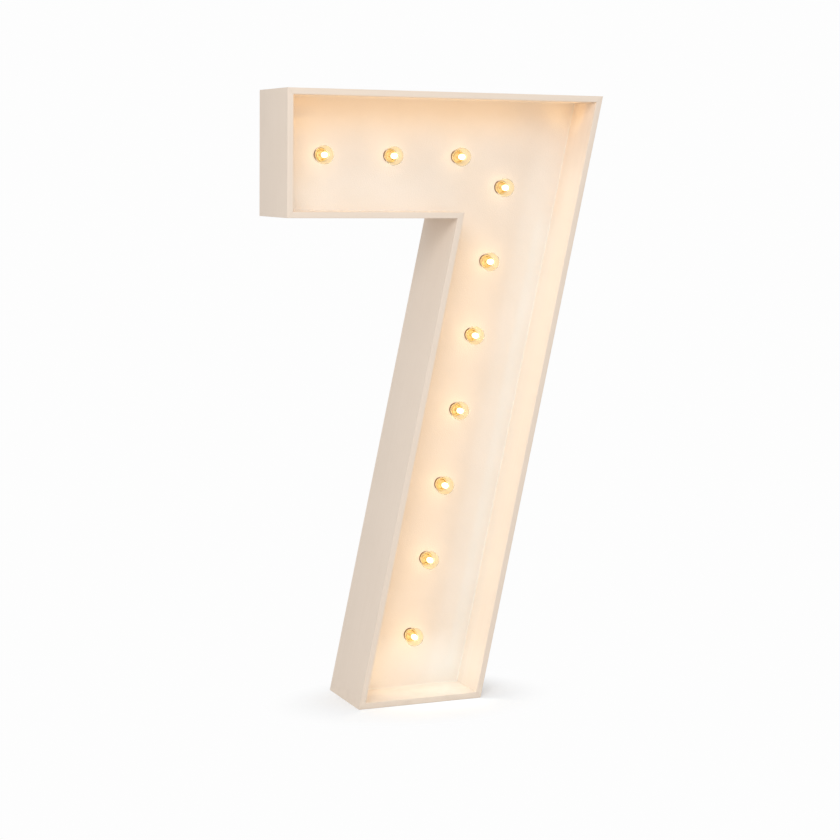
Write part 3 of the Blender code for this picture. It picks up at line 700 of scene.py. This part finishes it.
fit_piece("switch_frame", housing, black_finish, "root", "black_plastic", "switch_housing")
rocker_place = (switch_place[0], cover_back + rocker_axis_back, switch_place[2])
rocker = rocker_shape("stamped_rocker", rocker_place)
stamped_finish = stamped_moulding("stamped_moulding", switch_place[0], switch_place[2])
fit_piece("stamped_rocker", rocker, stamped_finish, "rocker", "black_plastic", "switch_rocker")


# Light from the bulbs
# A small lamp in each globe shines to the sides and the front. Strips a few centimetres from the paint stand
# for light that the boards throw back: warm at the top, the elbow, the arm's end and the left, pale or cool
# at the arm's low edge, the right and the foot. They are tuned to the photograph, not worked out.
def add_lamp(name, kind, energy, colour, place, turn, **settings):
    """A lamp that lights the object but isn't itself seen, in the glass either."""
    lamp_data = bpy.data.lights.new(name, kind)
    lamp_data.energy = energy
    lamp_data.color = colour
    for setting, value in settings.items():
        setattr(lamp_data, setting, value)
    lamp = bpy.data.objects.new(name, lamp_data)
    scene.collection.objects.link(lamp)
    lamp.matrix_world = Matrix.Translation(place) @ turn
    lamp.visible_camera = lamp.visible_glossy = lamp.visible_transmission = False
    return lamp


def add_strip(name, energy, colour, place, turn, width, height):
    """A rectangular lamp, which shines along the -Z of its turn."""
    return add_lamp(name, "AREA", energy, colour, place, turn, shape="RECTANGLE", size=width, size_y=height)


def up_stem(x, height):
    """Where a line that leans with the stem from x on the floor stands at a height."""
    return x + height * math.tan(stem_lean)


outward = Matrix.Rotation(-math.pi / 2, 4, "X")
inward = Matrix.Rotation(math.pi / 2, 4, "X")
leaning = Matrix.Rotation(stem_lean, 4, "Y")
amber, cream, white = (1.0, 0.57, 0.08), (1.0, 0.8, 0.46), (1.0, 1.0, 1.0)
pale, cool = (0.56, 0.83, 1.0), (0.04, 0.6, 1.0)
lamp_ahead, lamp_energy = 0.012, 0.05
for number in lamp_numbers:
    x, y, z = lamp_place(number)
    add_lamp(
        f"bulb_light_{number}", "SPOT", lamp_energy, cream, (x, y - lamp_ahead, z), outward,
        spot_size=math.radians(172.0), spot_blend=0.15, shadow_soft_size=0.012,
    )
board_across = board_thickness / math.cos(stem_lean)
left_board = foot_left + board_across
right_board = foot_right - board_across
left_middle, right_middle, corner_height = 0.5, 0.57, 1.17
add_strip("arm_top_glow", 0.046, amber, (-0.055, -0.03, 1.178), inward, 0.52, 0.06)
add_strip("elbow_glow", 0.0065, amber, (0.268, -0.04, 1.19), inward, 0.08, 0.03)
upwards = Matrix.Rotation(math.pi, 4, "X")
add_strip("top_board_glow", 0.016, amber, (0.0, -0.05, 1.17), upwards, 0.6, 0.05)
add_strip("arm_end_glow", 0.0075, amber, (-0.29, -0.03, 1.11), inward, 0.06, 0.17)
add_strip("arm_low_glow", 0.022, pale, (-0.14, -0.05, 1.01), inward, 0.34, 0.04)
add_strip(
    "stem_left_glow", 0.116, amber, (up_stem(left_board + 0.075, left_middle), -0.035, left_middle),
    leaning @ inward, 0.15, 0.9,
)
add_strip(
    "stem_right_glow", 0.135, pale, (up_stem(right_board - 0.08, right_middle), -0.055, right_middle),
    leaning @ Matrix.Rotation(-math.pi / 2, 4, "Y"), 1.1, 0.05,
)
add_strip(
    "right_corner_glow", 0.018, cool,
    (up_stem(right_board - 0.03, left_middle), panel_front - 0.02, left_middle),
    leaning @ Matrix.Rotation(math.radians(-65.0), 4, "Z") @ inward, 0.02, 0.96,
)
add_strip(
    "top_corner_glow", 0.0025, cream,
    (up_stem(right_board, corner_height) - 0.035, panel_front - 0.035, corner_height),
    Vector((-1.0, -1.0, -1.0)).to_track_quat("Z", "Y").to_matrix().to_4x4(), 0.03, 0.03,
)
add_strip("elbow_low_glow", 0.005, amber, (0.12, -0.03, 1.0), inward, 0.14, 0.12)
add_strip("arm_corner_glow", 0.0016, pale, (-0.275, -0.03, 1.015), inward, 0.03, 0.03)
add_strip("foot_corner_glow", 0.006, cream, (left_board + 0.055, -0.03, 0.05), inward, 0.05, 0.06)
add_strip("foot_right_glow", 0.003, cool, (right_board - 0.04, -0.03, 0.045), inward, 0.05, 0.04)
foot_middle = (left_board + right_board) / 2
foot_glow = add_strip(
    "foot_glow", 0.034, pale, (foot_middle + 0.02, -0.04, 0.15), Matrix.Identity(4), 0.16, 0.05
)
foot_glow.data.spread = math.radians(108.0)


# Studio
# A white floor that runs out into a white background, an even white surround and one large soft lamp from the
# front. The camera sees the floor whiter than it is for bounced light, and plain white beyond an oval.
white_level = 0.984
fade_middle = ((foot_left + foot_right) / 2, -0.04, 0.0)
fade_reach, fade_start = (0.31, 0.2, 1.0), 0.42
floor_lit, floor_seen = (0.8, 0.8, 0.8, 1.0), (1.025, 1.045, 1.065, 1.0)
floor_finish, floor_place = start_finish("floor_white")
ray = floor_place.node("ShaderNodeLightPath", {}, {}, "Is Camera Ray")
floor_shade = floor_place.node(
    "ShaderNodeBsdfDiffuse", {}, {"Color": ray.shade(floor_lit, floor_seen)}
)
floor_oval = floor_place.node(
    "ShaderNodeMapping",
    {"vector_type": "TEXTURE"},
    {"Vector": floor_place, "Location": fade_middle, "Scale": fade_reach},
)
floor_away = floor_place.node("ShaderNodeVectorMath", {"operation": "LENGTH"}, {0: floor_oval}, "Value")
floor_far = floor_away.step(fade_start, 1.0)
floor_white = floor_place.node(
    "ShaderNodeEmission", {}, {"Color": (white_level,) * 3 + (1.0,), "Strength": 1.0}
)
floor_mixed = floor_place.node(
    "ShaderNodeMixShader", {}, {0: floor_far * ray, 1: floor_shade, 2: floor_white}
)
floor_place.end("ShaderNodeOutputMaterial", floor_mixed)
floor_mesh = bpy.data.meshes.new("studio_floor")
floor_reach = 30.0
floor_corners = [(x * floor_reach, y * floor_reach, 0.0) for x, y in ((-1, -1), (1, -1), (1, 1), (-1, 1))]
floor_mesh.from_pydata(floor_corners, [], [(0, 1, 2, 3)])
floor_mesh.materials.append(floor_finish)
floor = bpy.data.objects.new("studio_floor", floor_mesh)
scene.collection.objects.link(floor)

world = bpy.data.worlds.new("white_surround")
scene.world = world
world.use_nodes = True
world.node_tree.nodes.clear()
sky = Wire(world.node_tree)
path = sky.node("ShaderNodeLightPath")
seen = [Wire(world.node_tree, path.socket.node.outputs[name])
        for name in ("Is Camera Ray", "Is Glossy Ray", "Is Transmission Ray")]
lighting = sky.node("ShaderNodeBackground", {}, {"Color": (1.0, 1.0, 1.0, 1.0), "Strength": 0.7})
backdrop = sky.node("ShaderNodeBackground", {}, {"Color": (1.0, 1.0, 1.0, 1.0), "Strength": white_level})
mixed = sky.node(
    "ShaderNodeMixShader", {}, {0: seen[0].math("MAXIMUM", seen[1] + seen[2]), 1: lighting, 2: backdrop}
)
sky.end("ShaderNodeOutputWorld", mixed)

key_aim = Vector((0.0, 0.0, 0.6))
key_azimuth, key_height, key_distance = math.radians(-30.0), math.radians(32.0), 4.2
key_energy, key_size = 54.0, 2.2
key_way = Vector((
    math.sin(key_azimuth) * math.cos(key_height),
    -math.cos(key_azimuth) * math.cos(key_height),
    math.sin(key_height),
))
add_lamp(
    "soft_key", "AREA", key_energy, white, key_aim + key_way * key_distance,
    key_way.to_track_quat("Z", "Y").to_matrix().to_4x4(), shape="DISK", size=key_size,
)

scene.view_settings.view_transform = "Standard"
